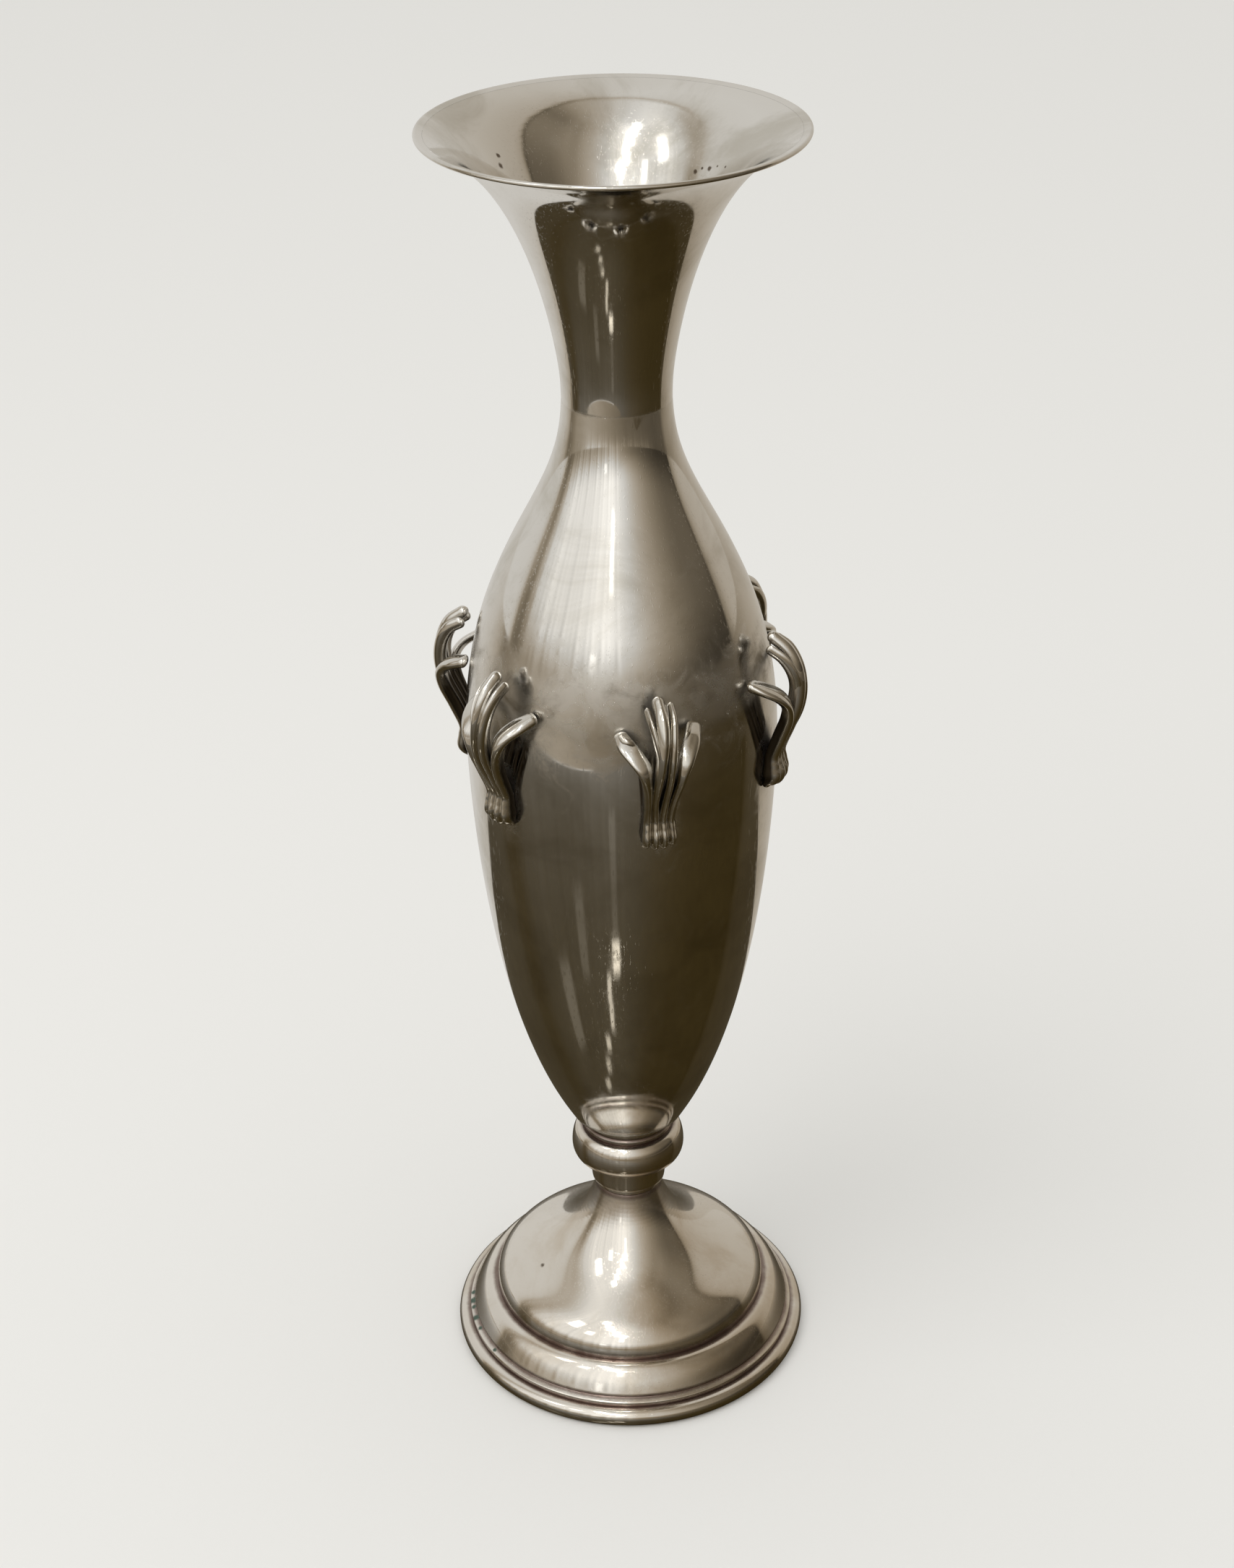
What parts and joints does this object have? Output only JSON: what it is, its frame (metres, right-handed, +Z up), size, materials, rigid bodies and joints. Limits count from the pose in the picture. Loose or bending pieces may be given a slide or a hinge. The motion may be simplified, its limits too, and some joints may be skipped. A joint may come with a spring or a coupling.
{
  "type": "amphora vase",
  "caption": "Footed amphora vase with a trumpet mouth, pear-shaped body, knopped stem and stepped round foot, and cast claws set round the belly; holds cut flowers.",
  "frame": {"origin": "centre of the circle that the foot's rim stands on", "axes": "+Z up the vase's axis, -Y towards the front of the picture"},
  "size_m": [0.1422, 0.1422, 0.5],
  "materials": {
    "body_silver": "worn polish",
    "foot_silver": "worn polish with warm tarnish",
    "cast_silver": "cast, polished on the ridges and dark in the recesses",
    "fastener_steel": "plain"
  },
  "bodies": {
    "root": {"base_rim": "foot_silver", "base_step": "foot_silver", "foot_dome": "foot_silver", "stem_ferrule": "foot_silver", "knop_ring": "foot_silver", "body_collar": "foot_silver", "body_shell": "body_silver", "trumpet_neck": "body_silver", "lip_wire": "body_silver", "claw_1": "cast_silver", "claw_2": "cast_silver", "claw_3": "cast_silver", "claw_4": "cast_silver", "claw_5": "cast_silver", "claw_6": "cast_silver", "centre_stud": "fastener_steel", "clamp_washer": "fastener_steel", "clamp_nut": "fastener_steel"}
  },
  "joints": []
}
